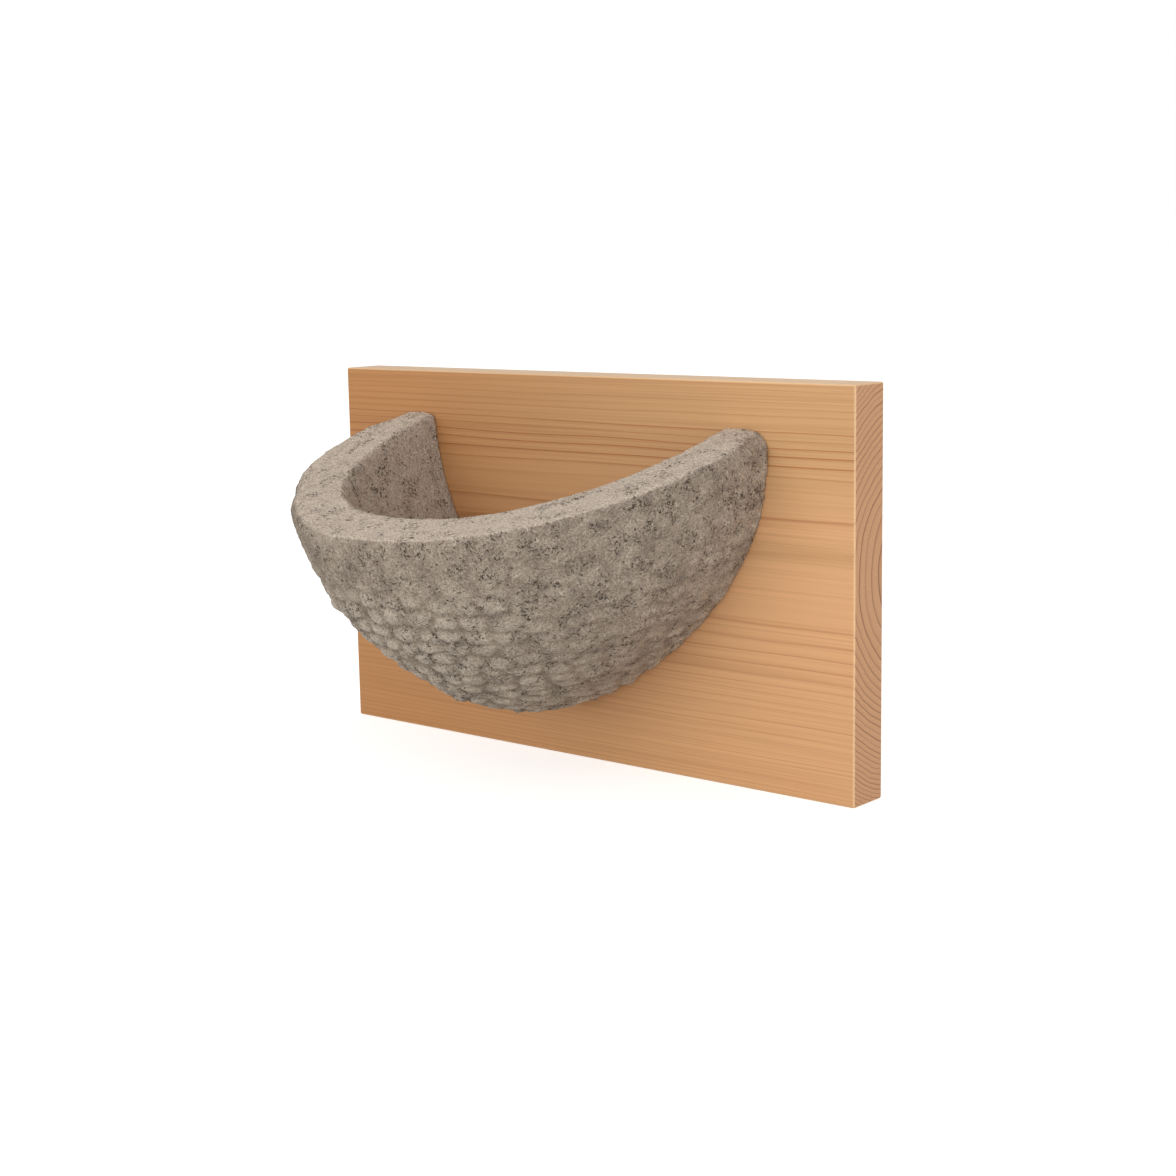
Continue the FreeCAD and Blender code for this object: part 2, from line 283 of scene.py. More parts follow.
@dataclass(frozen=True)
class CastWoodConcrete:
    """Wood-concrete, cast in a mould and smoothed off with a trowel at the rim.

    The eye gets a matt grey-brown crust of cement and fine chips: light flecks, dark open pores
    in clusters, dirty seams, pits and low places darkened with painted shade, a painted highlight
    on the pellets' tops, painted fill light in the hollow, and a paler, closed face where the
    trowel ran, with painted top light on it.
    """

    shade: str = "#887B6F"
    body: str = "#9D8F80"
    crust: str = "#AEA091"
    # Paler tone of the hollow: painted fill light that lifts the shade in it.
    inside_fill_light: str = "#B5A799"
    # Paler closed cement of the rim's face, with painted top light because it looks up.
    trowelled_and_top_lit: str = "#D3C2B0"
    pore: str = "#3E2F24"
    fleck: str = "#DACDBD"
    patch_size: float = 9.0 * MM
    speck_size: float = 0.75 * MM
    fleck_size: float = 1.5 * MM
    pore_size: float = 1.1 * MM
    cluster_size: float = 7.0 * MM
    crack_size: float = 5.0 * MM
    grit_depth: float = 0.6 * MM
    roughness: float = 0.93
    specular: float = 0.2
    # Shares of painted fill light in the hollow, of the painted highlight on the pellets' tops,
    # and of the rim's paler face with painted top light.
    inside_fill_light_share: float = 0.80
    crest_highlight_share: float = 0.60
    trowelled_and_top_lit_share: float = 0.80

    def material(self) -> bpy.types.Material:
        """Build the material.

        Returns:
            The finished material.
        """
        material, surface = new_material("wood_concrete_cast", {
            "Roughness": self.roughness, "Specular IOR Level": self.specular})
        tree = material.node_tree
        place = add_node(tree, "TexCoord", output="Object")
        specks = add_node(tree, "TexNoise", {"Vector": place},
                          {"Scale": 1 / self.speck_size, "Detail": 2.0, "Roughness": 0.7})
        spread = add_node(tree, "MapRange", {"Value": specks},
                          {"From Min": 0.30, "From Max": 0.70, "To Min": 0.62, "To Max": 1.36})
        colour = add_node(tree, "Mix", {BELOW: self.cement(tree, place), ABOVE: spread},
                          {SHARE: 1.0}, data_type="RGBA", blend_type="MULTIPLY")
        chips = add_node(tree, "TexNoise", {"Vector": place},
                         {"Scale": 1 / self.fleck_size, "Detail": 2.0, "Distortion": 1.2})
        light = add_node(tree, "MapRange", {"Value": chips},
                         {"From Min": 0.60, "From Max": 0.72, "To Max": 0.55})
        pores = self.pores(tree, place)
        # Seams, pits and low places, dirty and darkened by painted shade, go towards the pore
        # colour.
        dirt_and_shade = add_node(tree, "Attribute", output="Fac", attribute_name=Mark.DIRT.value)
        for share, tone in ((light, self.fleck), (pores, self.pore), (dirt_and_shade, self.pore)):
            colour = add_node(tree, "Mix", {SHARE: share, BELOW: colour},
                              {ABOVE: linear(tone)}, data_type="RGBA")
        tree.links.new(colour, surface.inputs["Base Color"])
        raised = add_node(tree, "Math", {0: specks, 1: chips}, operation="ADD")
        relief = add_node(tree, "Math", {0: raised, 1: pores}, operation="SUBTRACT")
        bump = add_node(tree, "Bump", {"Height": relief},
                        {"Strength": 1.0, "Distance": self.grit_depth})
        tree.links.new(bump, surface.inputs["Normal"])
        return material

    def cement(self, tree: Tree, place: Socket) -> Socket:
        """Lay the broad tones: the outside, painted fill light in the hollow, a painted highlight
        on the pellets' tops, and the rim's paler face with painted top light.

        Args:
            tree: the material's tree.
            place: object coordinates.

        Returns:
            The colour.
        """
        patches = add_node(tree, "TexNoise", {"Vector": place},
                           {"Scale": 1 / self.patch_size, "Detail": 4.0, "Roughness": 0.65})
        colour = ramp_stops(add_node(tree, "ValToRGB", {"Fac": patches}),
                            ((0.32, self.shade), (0.50, self.body), (0.68, self.crust)))
        # The hollow gets painted fill light, the pellets' tops a painted highlight in the fleck
        # colour, and the rim's face its paler cement with painted top light.
        for mark, tone, share in ((Mark.INSIDE, self.inside_fill_light, self.inside_fill_light_share),
                                  (Mark.CREST, self.fleck, self.crest_highlight_share),
                                  (Mark.TROWELLED, self.trowelled_and_top_lit, self.trowelled_and_top_lit_share)):
            where = add_node(tree, "Attribute", output="Fac", attribute_name=mark.value)
            amount = add_node(tree, "Math", {0: where}, {1: share}, operation="MULTIPLY")
            colour = add_node(tree, "Mix", {SHARE: amount, BELOW: colour}, {ABOVE: linear(tone)},
                              data_type="RGBA")
        return colour

    def pores(self, tree: Tree, place: Socket) -> Socket:
        """Scatter open pores in clusters, with crumbly cracks where they are closest.

        Args:
            tree: the material's tree.
            place: object coordinates.

        Returns:
            A share that is highest in a pore or crack.
        """
        holes = add_node(tree, "TexNoise", {"Vector": place},
                         {"Scale": 1 / self.pore_size, "Detail": 2.0, "Roughness": 0.6,
                          "Distortion": 0.8})
        clusters = add_node(tree, "TexNoise", {"Vector": place},
                            {"Scale": 1 / self.cluster_size, "Detail": 2.0})
        limit = add_node(tree, "MapRange", {"Value": clusters},
                         {"From Min": 0.35, "From Max": 0.65, "To Min": 0.30, "To Max": 0.43})
        below = add_node(tree, "Math", {0: limit, 1: holes}, operation="SUBTRACT")
        open_pores = add_node(tree, "MapRange", {"Value": below},
                              {"From Min": 0.0, "From Max": 0.05, "To Max": 0.85})
        # A crack runs where unscaled noise crosses 0.
        crumbs = add_node(tree, "TexNoise", {"Vector": place},
                          {"Scale": 1 / self.crack_size, "Detail": 4.0, "Roughness": 0.7,
                           "Distortion": 0.6}, normalize=False)
        beside = add_node(tree, "Math", {0: crumbs}, operation="ABSOLUTE")
        cracks = add_node(tree, "MapRange", {"Value": beside},
                          {"From Min": 0.045, "From Max": 0.015, "To Max": 0.8})
        loose = add_node(tree, "MapRange", {"Value": clusters},
                         {"From Min": 0.52, "From Max": 0.66})
        cracked = add_node(tree, "Math", {0: cracks, 1: loose}, operation="MULTIPLY")
        return add_node(tree, "Math", {0: open_pores, 1: cracked}, operation="MAXIMUM")


@dataclass(frozen=True)
class PlanedSoftwood:
    """Softwood board, sawn beside the pith, planed and left bare.

    The eye gets thin dark latewood lines along the board, a broad calm band where the cut runs
    along a ring, and arcs of the same rings on the sawn ends, closer the farther from the pith.
    """

    early: str = "#D9A677"
    early_left: str = "#C08A58"
    outer: str = "#C79A6B"
    outer_left: str = "#B07C4C"
    late: str = "#9A5428"
    late_left: str = "#884A20"
    worn: str = "#EBC79C"
    # Paler tone of the faces that look up: painted top light.
    painted_top_light: str = "#E6C8A6"
    end_early: str = "#C6966F"
    end_late: str = "#5E3421"
    vessel: str = "#A96B38"
    # How strongly the rings show, from the board's lower edge at 0 to its upper edge at 1.
    bands: Stops = (
        (0.00, "#ACACAC"), (0.26, "#9C9C9C"), (0.31, "#D8D8D8"), (0.43, "#CCCCCC"),
        (0.45, "#181818"), (0.57, "#181818"), (0.62, "#D4D4D4"), (0.68, "#DCDCDC"),
        (0.70, "#5C5C5C"), (0.76, "#707070"), (0.79, "#FFFFFF"), (0.87, "#F4F4F4"),
        (0.90, "#A4A4A4"), (1.00, "#A4A4A4"))
    # How far the ground turns from early wood to outer wood, over the same height.
    depths: Stops = (
        (0.00, "#A8A8A8"), (0.30, "#606060"), (0.42, "#202020"), (0.56, "#000000"),
        (0.59, "#D0D0D0"), (0.61, "#B0B0B0"), (0.64, "#202020"), (0.85, "#FFFFFF"),
        (1.00, "#E6E6E6"))
    # Darkness over one ring: it rises slowly to the latewood line and ends at once.
    year: Stops = ((0.0, "#000000"), (0.55, "#242424"), (0.80, "#808080"), (0.93, "#FFFFFF"),
                   (1.0, "#000000"))
    half_height: float = 74.0 * MM
    # Where the darker tone of the left starts to pale, and where it is gone.
    paling: Span = (-125.0 * MM, 90.0 * MM)
    pith_y: float = 23.0 * MM
    pith_z: float = 7.0 * MM
    # Rings in each square metre of squared distance from the pith.
    rings_per_square: float = 3720.0
    first_ring: float = 0.63
    ring_wander: float = 0.9 * MM
    wander_length: float = 1000.0 * MM / 7
    wander_width: float = 1000.0 * MM / 60
    # Real fibres are far finer. These are 0.7 mm wide, so that they show.
    fibre_length: float = 1000.0 * MM / 7
    fibre_width: float = 1000.0 * MM / 1400
    fibre_depth: float = 0.08 * MM
    roughness: float = 0.62
    specular: float = 0.35

    def material(self) -> bpy.types.Material:
        """Build the material.

        Returns:
            The finished material.
        """
        material, surface = new_material("softwood_planed", {
            "Roughness": self.roughness, "Specular IOR Level": self.specular})
        tree = material.node_tree
        texture = add_node(tree, "TexCoord").node.outputs
        place = texture["Object"]
        facing = add_node(tree, "SeparateXYZ", {"Vector": texture["Normal"]}).node.outputs
        split = add_node(tree, "SeparateXYZ", {"Vector": place}).node.outputs
        latewood, amount = self.rings(tree, place)
        height = add_node(tree, "MapRange", {"Value": split["Z"]},
                          {"From Min": -self.half_height, "From Max": self.half_height})
        banded, depth = [ramp_stops(add_node(tree, "ValToRGB", {"Fac": height}), stops)
                         for stops in (self.bands, self.depths)]
        drawn = add_node(tree, "Math", {0: amount, 1: banded}, operation="MULTIPLY")
        lines = add_node(tree, "Math", {0: latewood, 1: drawn}, operation="MULTIPLY")
        colour = self.planed_face(tree, split["X"], lines, depth)
        colour = self.sawn_ends(tree, facing["X"], (latewood, amount), colour)
        # Faces that look up get painted top light.
        upper = add_node(tree, "MapRange", {"Value": facing["Z"]},
                         {"From Min": 0.80, "From Max": 0.95, "To Max": 0.75})
        colour = add_node(tree, "Mix", {SHARE: upper, BELOW: colour}, {ABOVE: linear(self.painted_top_light)},
                          data_type="RGBA")
        colour = self.eased_edges(tree, facing, colour)
        stretched = add_node(tree, "Mapping", {"Vector": place},
                             {"Scale": (1 / self.fibre_length, 1 / self.fibre_width,
                                        1 / self.fibre_width)})
        fibres = add_node(tree, "TexNoise", {"Vector": stretched},
                          {"Scale": 1.0, "Detail": 3.0, "Roughness": 0.6})
        colour = self.streaks(tree, fibres, banded, colour)
        tree.links.new(colour, surface.inputs["Base Color"])
        relief = add_node(tree, "Math", {0: fibres, 2: lines}, {1: 0.5}, operation="MULTIPLY_ADD")
        bump = add_node(tree, "Bump", {"Height": relief},
                        {"Strength": 0.35, "Distance": self.fibre_depth})
        tree.links.new(bump, surface.inputs["Normal"])
        return material

    def rings(self, tree: Tree, place: Socket) -> tuple[Socket, Socket]:
        """Grow rings round the pith, which runs along the board behind its back.

        Args:
            tree: the material's tree.
            place: object coordinates.

        Returns:
            Darkness of the latewood lines, and how strong each ring is.
        """
        shifted = add_node(tree, "Mapping", {"Vector": place},
                           {"Location": (0.0, -self.pith_y, -self.pith_z),
                            "Scale": (0.0, 1.0, 1.0)})
        radius = add_node(tree, "VectorMath", {0: shifted}, operation="LENGTH")
        drawn_out = add_node(tree, "Mapping", {"Vector": place},
                             {"Scale": (1 / self.wander_length, 1 / self.wander_width,
                                        1 / self.wander_width)})
        wander = add_node(tree, "TexNoise", {"Vector": drawn_out},
                          {"Scale": 1.0, "Detail": 2.0, "Roughness": 0.5}, normalize=False)
        bent = add_node(tree, "Math", {0: wander, 2: radius},
                        {1: self.ring_wander}, operation="MULTIPLY_ADD")
        squared = add_node(tree, "Math", {0: bent}, {1: 2.0}, operation="POWER")
        count = add_node(tree, "Math", {0: squared},
                         {1: self.rings_per_square, 2: -self.first_ring},
                         operation="MULTIPLY_ADD")
        season = add_node(tree, "Math", {0: count}, operation="FRACT")
        latewood = ramp_stops(add_node(tree, "ValToRGB", {"Fac": season}), self.year)
        strength = add_node(tree, "TexNoise", {"W": count},
                            {"Scale": 0.9, "Detail": 2.0}, noise_dimensions="1D")
        amount = add_node(tree, "MapRange", {"Value": strength},
                          {"From Min": 0.35, "From Max": 0.65, "To Min": 0.45, "To Max": 1.0})
        return latewood, amount

    def planed_face(self, tree: Tree, along: Socket, lines: Socket, depth: Socket) -> Socket:
        """Colour the faces: early or outer wood under the latewood lines, darker at the left.

        Args:
            tree: the material's tree.
            along: place along the board.
            lines: share of the latewood lines.
            depth: share of outer wood in the ground.

        Returns:
            The colour.
        """
        start, end = self.paling
        side = add_node(tree, "MapRange", {"Value": along},
                        {"From Min": start, "From Max": end}, interpolation_type="SMOOTHSTEP")
        early, outer, late = [
            add_node(tree, "Mix", {SHARE: side}, {BELOW: linear(left), ABOVE: linear(right)},
                     data_type="RGBA")
            for left, right in ((self.early_left, self.early), (self.outer_left, self.outer),
                                (self.late_left, self.late))]
        ground = add_node(tree, "Mix", {SHARE: depth, BELOW: early, ABOVE: outer},
                          data_type="RGBA")
        return add_node(tree, "Mix", {SHARE: lines, BELOW: ground, ABOVE: late}, data_type="RGBA")

    def sawn_ends(self, tree: Tree, facing: Socket, rings: tuple[Socket, Socket],
                  colour: Socket) -> Socket:
        """Colour the two ends, where the saw cuts across the rings.

        Args:
            tree: the material's tree.
            facing: the normal's part along the board.
            rings: darkness of the latewood lines, and how strong each ring is.
            colour: colour so far.

        Returns:
            The colour with both ends.
        """
        cut = add_node(tree, "Math", {0: rings[0], 1: rings[1]}, operation="MULTIPLY")
        end = add_node(tree, "Mix", {SHARE: cut},
                       {BELOW: linear(self.end_early), ABOVE: linear(self.end_late)},
                       data_type="RGBA")
        across = add_node(tree, "Math", {0: facing}, operation="ABSOLUTE")
        ending = add_node(tree, "MapRange", {"Value": across},
                          {"From Min": 0.55, "From Max": 0.85})
        return add_node(tree, "Mix", {SHARE: ending, BELOW: colour, ABOVE: end}, data_type="RGBA")

    def eased_edges(self, tree: Tree, facing: bpy.types.NodeOutputs, colour: Socket) -> Socket:
        """Rub the eased edges pale, where the face turns between two sides.

        Args:
            tree: the material's tree.
            facing: the three parts of the normal.
            colour: colour so far.

        Returns:
            The colour with pale edges.
        """
        sizes = [add_node(tree, "Math", {0: facing[axis]}, operation="ABSOLUTE")
                 for axis in "XYZ"]
        most = sizes[0]
        for size in sizes[1:]:
            most = add_node(tree, "Math", {0: most, 1: size}, operation="MAXIMUM")
        turned = add_node(tree, "MapRange", {"Value": most},
                          {"From Min": 0.98, "From Max": 0.88, "To Max": 0.6})
        return add_node(tree, "Mix", {SHARE: turned, BELOW: colour}, {ABOVE: linear(self.worn)},
                        data_type="RGBA")

    def streaks(self, tree: Tree, fibres: Socket, banded: Socket, colour: Socket) -> Socket:
        """Draw warm fibre streaks, faint in the calm band, and lighter fibres between them.

        Args:
            tree: the material's tree.
            fibres: the fibre pattern.
            banded: how strongly the rings show at each height.
            colour: colour so far.

        Returns:
            The colour with fibres.
        """
        dark = add_node(tree, "MapRange", {"Value": fibres},
                        {"From Min": 0.52, "From Max": 0.28, "To Max": 0.30})
        lively = add_node(tree, "Math", {0: banded}, {1: 0.7, 2: 0.3}, operation="MULTIPLY_ADD")
        share = add_node(tree, "Math", {0: dark, 1: lively}, operation="MULTIPLY")
        colour = add_node(tree, "Mix", {SHARE: share, BELOW: colour},
                          {ABOVE: linear(self.vessel)}, data_type="RGBA")
        light = add_node(tree, "MapRange", {"Value": fibres},
                         {"From Min": 0.40, "From Max": 0.72, "To Min": 1.0, "To Max": 1.10})
        return add_node(tree, "Mix", {BELOW: colour, ABOVE: light},
                        {SHARE: 1.0}, data_type="RGBA", blend_type="MULTIPLY")


@dataclass(frozen=True)
class ZincPlatedSteel:
    """Steel screws, rolled and zinc plated.

    The eye gets a cool metal between matt and shiny, a little blotchy.
    """

    zinc: str = "#B9BBBD"
    dull: str = "#8F9294"
    blotch_size: float = 1.5 * MM
    dull_roughness: float = 0.42
    bright_roughness: float = 0.28

    def material(self) -> bpy.types.Material:
        """Build the material.

        Returns:
            The finished material.
        """
        material, surface = new_material("steel_zinc_plated", {"Metallic": 1.0})
        tree = material.node_tree
        place = add_node(tree, "TexCoord", output="Object")
        blotches = add_node(tree, "TexNoise", {"Vector": place},
                            {"Scale": 1 / self.blotch_size, "Detail": 3.0})
        colour = ramp_stops(add_node(tree, "ValToRGB", {"Fac": blotches}),
                            ((0.35, self.dull), (0.65, self.zinc)))
        rough = add_node(tree, "MapRange", {"Value": blotches},
                         {"To Min": self.dull_roughness, "To Max": self.bright_roughness})
        tree.links.new(colour, surface.inputs["Base Color"])
        tree.links.new(rough, surface.inputs["Roughness"])
        return material


@dataclass(frozen=True)
class Bowl:
    """Form of the casting's outside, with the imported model's sizes.

    Each level ring is a superellipse, which shrinks downwards by two profiles.
    """

    centre_x: float = -2.0 * MM
    board_y: float = -18.0 * MM
    half_width: float = 93.5 * MM
    reach: float = 117.0 * MM
    depth: float = 109.5 * MM
    rim_height: float = 57.5 * MM
    rim_slope: float = 33.5 / 117.0
    plan_fullness: float = 2.27
    width_fullness: float = 2.15
    width_taper: float = 0.775
    reach_fullness: float = 2.23
    reach_taper: float = 0.45
    # The lowest ring that is used, as a share of the depth.
    lowest: float = 0.995
    # Rings in the table of lengths, and points on each ring.
    table_rings: int = 300
    table_points: int = 91

    def out(self, points: np.ndarray) -> np.ndarray:
        """Distance of points from the board's face."""
        return np.clip(self.board_y - points[:, 1], 0.0, None)

    def below_rim(self, points: np.ndarray) -> np.ndarray:
        """Distance of points below the sloping rim."""
        return (self.rim_height - self.rim_slope * (self.board_y - points[:, 1])
                - points[:, 2]) / math.hypot(1.0, self.rim_slope)

    def plan_width(self, out: np.ndarray) -> np.ndarray:
        """Half width of the widest ring at distances from the board."""
        share = np.clip(out / self.reach, 0.0, 1.0) ** self.plan_fullness
        return self.half_width * (1.0 - share) ** (1 / self.plan_fullness)

    def ring_sizes(self, down: np.ndarray) -> tuple[np.ndarray, np.ndarray]:
        """Half width and reach of the level ring at a share of the depth."""
        return (self.half_width * (1.0 - down ** self.width_fullness) ** self.width_taper,
                self.reach * (1.0 - down ** self.reach_fullness) ** self.reach_taper)

    def shares(self, points: np.ndarray) -> tuple[np.ndarray, np.ndarray, np.ndarray]:
        """Find where points lie in the bowl.

        Args:
            points: places in metres.

        Returns:
            Share of the half turn from right to left, share of the depth, and share of the way
            from the axis to the outer skin.
        """
        down = np.clip((self.rim_height - points[:, 2]) / self.depth, 0.0, self.lowest)
        wide, long = self.ring_sizes(down)
        across = (points[:, 0] - self.centre_x) / wide
        out = self.out(points) / long
        level = (np.abs(across) ** self.plan_fullness
                 + out ** self.plan_fullness) ** (1 / self.plan_fullness)
        return np.arctan2(out, across) / math.pi, down, level

    def lengths(self) -> tuple[np.ndarray, np.ndarray, np.ndarray]:
        """Tabulate the bowl from the rim's level to its lowest ring.

        Returns:
            Shares of the depth, distance down the front, and length of each level ring.
        """
        down = np.linspace(0.0, self.lowest, self.table_rings)
        wide, long = self.ring_sizes(down)
        steps = np.hypot(np.diff(long), self.depth * np.diff(down))
        front = np.concatenate([[0.0], np.cumsum(steps)])
        turn = np.linspace(0.0, math.pi, self.table_points)
        radius = (np.abs(np.cos(turn)) ** self.plan_fullness
                  + np.sin(turn) ** self.plan_fullness) ** (-1 / self.plan_fullness)
        ring = np.hypot(np.diff(wide[:, None] * radius * np.cos(turn)),
                        np.diff(long[:, None] * radius * np.sin(turn))).sum(axis=1)
        return down, front, ring


@dataclass(frozen=True)
class Courses:
    """Courses of mud pellets, laid like bricks in level rings round the bowl.

    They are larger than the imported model's pellets, and uneven in size, height and place.
    """

    bowl: Bowl = Bowl()
    pellet_width: float = 12.0 * MM
    pellet_rise: float = 6.8 * MM
    scatter: float = 0.24
    drift: float = 1.5 * MM
    drift_grain: Grain = Grain(14.0 * MM, 31.0)
    # The band below the rim that has no pellets, and the one where they fade in.
    smooth_band: float = 13.0 * MM
    fade_band: float = 20.0 * MM
    skin: Span = (0.80, 0.93)
    board_gap: float = 0.3 * MM
    # Farther than any pellet, in pellets.
    far: float = 9.0

    def covered(self, points: np.ndarray) -> np.ndarray:
        """Find the pelleted part of the outside.

        Args:
            points: places in metres.

        Returns:
            The share by which each point belongs to it.
        """
        level = self.bowl.shares(points)[2]
        off_board = points[:, 1] < self.bowl.board_y - self.board_gap
        outside = smooth_step(level, *self.skin) * off_board
        return outside * smooth_step(self.bowl.below_rim(points), self.smooth_band,
                                     self.smooth_band + self.fade_band)

    @staticmethod
    def chances(number: np.ndarray, row: np.ndarray) -> tuple[np.ndarray, np.ndarray]:
        """Draw two fixed random shares for each pellet.

        Args:
            number: the pellet's number in its row.
            row: the number of its row.

        Returns:
            The first and the second share.
        """
        by_number, by_row, spread, again = PELLET_SCRAMBLE
        key = np.sin(number * by_number + row * by_row) * spread
        chance = key - np.floor(key)
        return chance, chance * again - np.floor(chance * again)

    def nearest(self, points: np.ndarray) -> tuple[np.ndarray, np.ndarray, np.ndarray]:
        """Find the two nearest pellets of each point.

        Args:
            points: places in metres.

        Returns:
            Distances to the nearest and second nearest pellet, in pellets, and a fixed random
            share of the nearest.
        """
        along, down, _ = self.bowl.shares(points)
        table, front, ring = self.bowl.lengths()
        below = np.interp(down, table, front) + self.drift * self.drift_grain.field(points)
        first = np.full(len(points), self.far)
        second = np.full(len(points), self.far)
        pick = np.zeros(len(points))
        course = np.floor(below / self.pellet_rise)
        for row in (course - 1, course, course + 1):
            middle = (row + 0.5) * self.pellet_rise
            length = np.interp(middle, front, ring)
            step = length / np.maximum(np.round(length / self.pellet_width), 1.0)
            reached = along * length
            shift = 0.5 * (row % 2)
            place = np.floor(reached / step - shift)
            for number in (place - 1, place, place + 1):
                chance, other = self.chances(number, row)
                centre = (number + 0.5 + shift + self.scatter * (2 * chance - 1)) * step
                height = middle + self.scatter * (2 * other - 1) * self.pellet_rise
                distance = np.hypot((reached - centre) / self.pellet_width,
                                    (below - height) / self.pellet_rise)
                closer = distance < first
                second = np.where(closer, first, np.minimum(second, distance))
                pick = np.where(closer, chance, pick)
                first = np.where(closer, distance, first)
        return first, second, pick


def read_skin(piece: bpy.types.Object) -> tuple[np.ndarray, np.ndarray]:
    """Read the vertices and their normals.

    Args:
        piece: a mesh piece at the origin.

    Returns:
        Points in metres and unit normals, one row each.
    """
    count = len(piece.data.vertices)
    points = np.empty(count * 3)
    normals = np.empty(count * 3)
    piece.data.vertices.foreach_get("co", points)
    piece.data.vertices.foreach_get("normal", normals)
    return points.reshape(-1, 3), normals.reshape(-1, 3)


def move_skin(piece: bpy.types.Object, points: np.ndarray) -> None:
    """Move the vertices.

    Args:
        piece: a mesh piece at the origin.
        points: new places in metres, one row each.
    """
    piece.data.vertices.foreach_set("co", points.ravel())
    piece.data.update()


@dataclass(frozen=True)
class CastCrust:
    """Relief of the casting: pellets, chips, grit, lumps, pits and a crumbly edge of the rim."""

    courses: Courses = Courses()
    pellet_height: float = 2.5 * MM
    # Height of a pellet, as shares: its dome and its seams, the least one, and the ground.
    seam_share: float = 0.35
    dome_share: float = 0.65
    least_pellet: float = 0.45
    ground: float = 0.42
    seam_width: float = 0.40
    dome_radius: float = 0.66
    # Towards the right the pellets wear away, by this share and over this stretch.
    worn_share: float = 0.70
    worn_stretch: Span = (5.0 * MM, 70.0 * MM)
    wear_grain: Grain = Grain(17.0 * MM, 41.0)
    wear_limits: Span = (-0.6, 0.3)
    mean_wear: float = 0.84
    added_wear: float = 0.55
    chips: Layer = Layer(0.32 * MM, Grain(2.6 * MM, 3.0, 2), 0.7)
    lumps: Layer = Layer(0.6 * MM, Grain(8.0 * MM, 51.0), 0.6)
    grit: Layer = Layer(0.16 * MM, Grain(1.5 * MM, 11.0), 0.4)
    crumble_depth: float = 1.3 * MM
    crumb_grain: Grain = Grain(2.8 * MM, 21.0, 2)
    pit_depth: float = 1.2 * MM
    pit_radius: float = 1.5 * MM
    pit_spots: Spots = Spots(4.6 * MM, 5.0)
    pit_clusters: Grain = Grain(22.0 * MM, 8.0)
    cluster_limits: Span = (-0.15, 0.35)
    # Size of the least pit, share of the spots that are pits, and the same added in a cluster.
    least_pit: float = 0.45
    pitted: float = 0.08
    pitted_more: float = 0.22
    # Factor that draws a pit's size from its spot's share.
    size_draw: float = 7.3
    # Share of the way to the outer skin that counts as the hollow.
    hollow: float = 0.86
    rim_facing: Span = (0.75, 0.96)
    rim_face: Span = (-1.6 * MM, -0.5 * MM)
    rim_edge: Span = (-4.0 * MM, -0.6 * MM)
    off_board: Span = (0.2 * MM, 2.0 * MM)
    closed_pits: float = 0.7
    # What is left out of the crumbs and the low chips, and how dark each low place gets: partly
    # dirty, partly painted shade.
    crumb_limit: float = 0.05
    hollow_chips: float = 0.2
    pit_dirt_and_shade: float = 0.7
    seam_dirt_and_shade: float = 0.10
    chip_dirt_and_shade: float = 0.35
    most_dirt_and_shade: float = 0.8

    def rim(self, points: np.ndarray, normals: np.ndarray) -> tuple[np.ndarray, np.ndarray]:
        """Find the rim's upward face, closed by the trowel, with painted top light, and the edges
        beside it.

        Args:
            points: places in metres.
            normals: their unit normals.

        Returns:
            Share of the face and share of the edges.
        """
        bowl = self.courses.bowl
        above = -bowl.below_rim(points)
        upwards = ((normals[:, 2] - bowl.rim_slope * normals[:, 1])
                   / math.hypot(1.0, bowl.rim_slope))
        face = smooth_step(upwards, *self.rim_facing) * smooth_step(above, *self.rim_face)
        return face, (1.0 - face) * smooth_step(above, *self.rim_edge)

    def pellets(self, points: np.ndarray) -> tuple[np.ndarray, np.ndarray, np.ndarray]:
        """Raise the pellets, unevenly worn.

        Args:
            points: places in metres.

        Returns:
            Height in metres, share of the seams, and share of the painted highlight on the
            pellets' tops.
        """
        first, second, pick = self.courses.nearest(points)
        body = smooth_step(second - first, 0.0, self.seam_width)
        dome = np.clip(1.0 - (first / self.dome_radius) ** 2, 0.0, 1.0)
        strength = self.courses.covered(points) * (
            1.0 - self.worn_share * smooth_step(points[:, 0], *self.worn_stretch))
        wear = np.clip(self.wear_grain.field(points), *self.wear_limits)
        strength *= self.mean_wear + self.added_wear * wear
        height = ((self.seam_share * body + self.dome_share * dome)
                  * (self.least_pellet + (1.0 - self.least_pellet) * pick) - self.ground)
        return (height * strength * self.pellet_height, strength * (1.0 - body),
                strength * body * dome)

    def pits(self, points: np.ndarray) -> np.ndarray:
        """Scatter small pits, more of them in clusters.

        Args:
            points: places in metres.

        Returns:
            A share that is 1 at the bottom of a pit.
        """
        clusters = smooth_step(self.pit_clusters.field(points), *self.cluster_limits)
        away, picks = self.pit_spots.nearest(points)
        sizes = self.least_pit + (1.0 - self.least_pit) * (picks * self.size_draw % 1.0)
        depths = np.clip(1.0 - away / (self.pit_radius * sizes), 0.0, 1.0)
        return depths * (picks < self.pitted + self.pitted_more * clusters)

    def raise_on(self, piece: bpy.types.Object, node: str) -> None:
        """Move each vertex along its normal, and keep the marks that the finish reads.

        Args:
            piece: the casting with its form finished.
            node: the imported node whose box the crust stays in.
        """
        points, normals = read_skin(piece)
        bowl = self.courses.bowl
        # The rim's face, which looks up, gets painted top light in the finish.
        face, edge = self.rim(points, normals)
        # The pellets' tops get a painted highlight in the finish.
        height, seams, crest_highlight = self.pellets(points)
        pits = self.pits(points) * (1.0 - self.closed_pits * face)
        crumble = np.clip(self.crumb_grain.field(points) - self.crumb_limit, 0.0, 1.0)
        for layer in (self.chips, self.lumps, self.grit):
            height += layer.raised(points, face)
        height -= pits * self.pit_depth
        height -= edge * crumble * self.crumble_depth
        height *= smooth_step(bowl.board_y - points[:, 1], *self.off_board)
        low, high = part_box(node)
